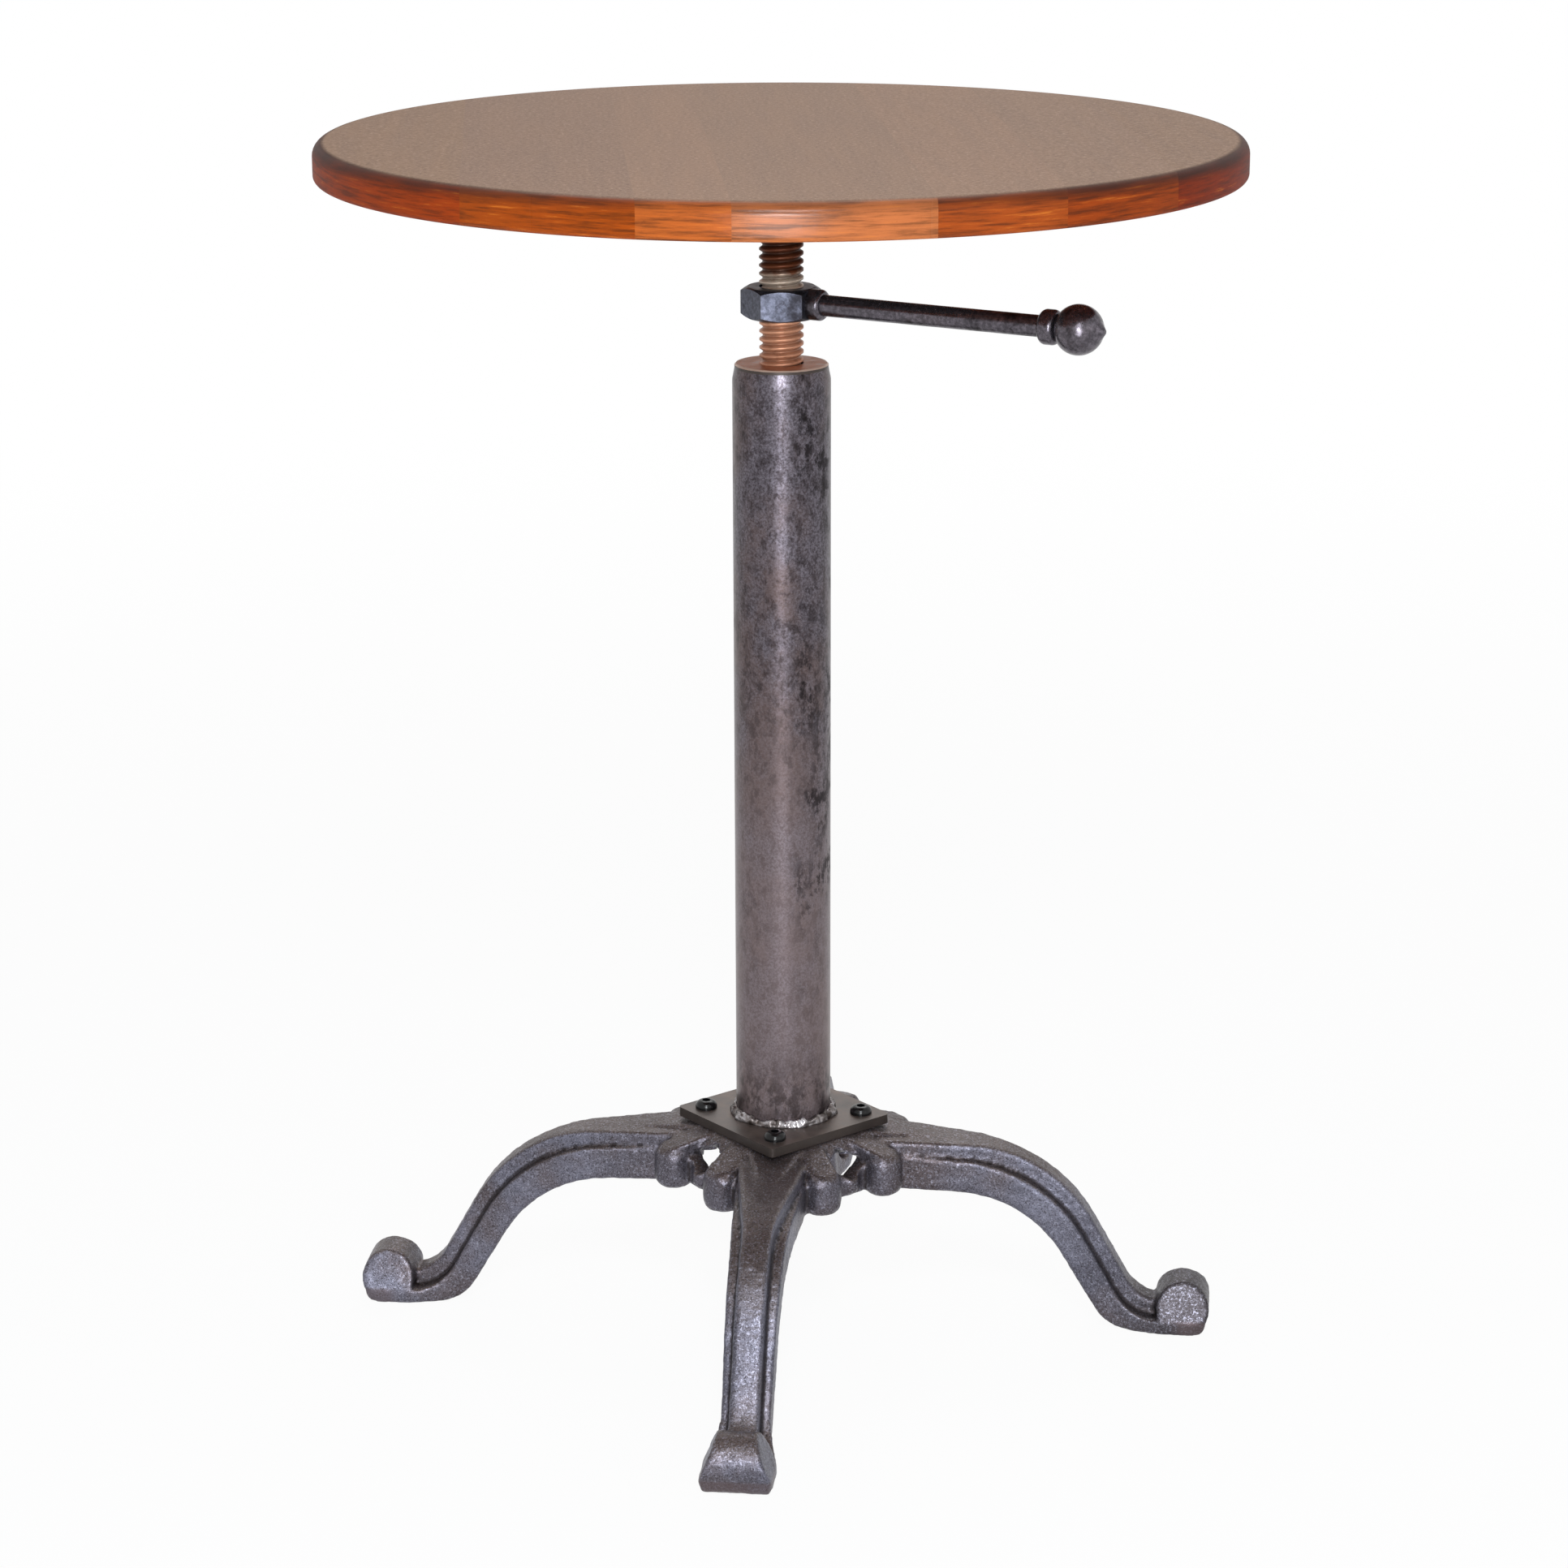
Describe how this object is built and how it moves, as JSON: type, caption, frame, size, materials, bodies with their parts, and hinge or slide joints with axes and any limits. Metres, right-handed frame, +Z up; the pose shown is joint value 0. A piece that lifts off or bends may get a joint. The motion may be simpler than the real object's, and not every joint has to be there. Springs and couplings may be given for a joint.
{
  "type": "wine table",
  "caption": "Round wooden wine table on a threaded lift screw in a pipe column, with a lever lock nut and a cast scroll-footed base.",
  "frame": {"origin": "on the floor, at the column's axis", "axes": "+Z up the column; the four legs run along +X, -X, +Y and -Y"},
  "size_m": [0.5588, 0.5588, 0.762],
  "materials": {
    "stained_wood": "stained and sealed",
    "cast_iron": "dark sand-cast",
    "column_steel": "mottled gunmetal",
    "plate_steel": "aged steel",
    "weld_steel": "weld bead",
    "bush_steel": "rust-brown",
    "screw_steel": "rust-brown thread",
    "inner_steel": "plain steel",
    "nut_steel": "mottled gunmetal",
    "lever_steel": "mottled gunmetal",
    "bolt_black": "gloss black oxide"
  },
  "bodies": {
    "base": {"leg_spider": "cast_iron", "base_plate": "plate_steel", "base_bolt_1": "bolt_black", "base_bolt_2": "bolt_black", "base_bolt_3": "bolt_black", "base_bolt_4": "bolt_black", "column_tube": "column_steel", "column_weld": "weld_steel", "column_bush": "bush_steel"},
    "stop": {"stop_washer": "inner_steel"},
    "top": {"lift_screw": "screw_steel", "stop_bolt": "inner_steel", "top_plate": "plate_steel", "screw_weld": "weld_steel", "wood_screw_1": "inner_steel", "wood_screw_2": "inner_steel", "wood_screw_3": "inner_steel", "wood_screw_4": "inner_steel", "top_stave_1": "stained_wood", "top_stave_2": "stained_wood", "top_stave_3": "stained_wood", "top_stave_4": "stained_wood", "top_stave_5": "stained_wood", "top_stave_6": "stained_wood", "top_stave_7": "stained_wood"},
    "lock": {"lock_nut": "nut_steel", "lever_arm": "lever_steel", "lever_weld": "lever_steel", "lever_collar": "lever_steel", "lever_ball": "lever_steel"}
  },
  "joints": [
    {"name": "screw_lift", "type": "slide", "parent": "base", "child": "stop", "axis": [0, 0, 1], "range_m": [-0.0501, 0.1501]},
    {"name": "screw_turn", "type": "hinge", "parent": "stop", "child": "top", "pos_m": [0, 0, 0.6], "axis": [0, 0, 1], "range_deg": [-3600, 10800]},
    {"name": "lock_turn", "type": "hinge", "parent": "base", "child": "lock", "pos_m": [0, 0, 0.662], "axis": [0, 0, 1], "range_deg": [-180, 180]}
  ],
  "couplings": [
    {"joint": "screw_lift", "follows": "screw_turn", "m_per_rad": 0.00079577}
  ]
}
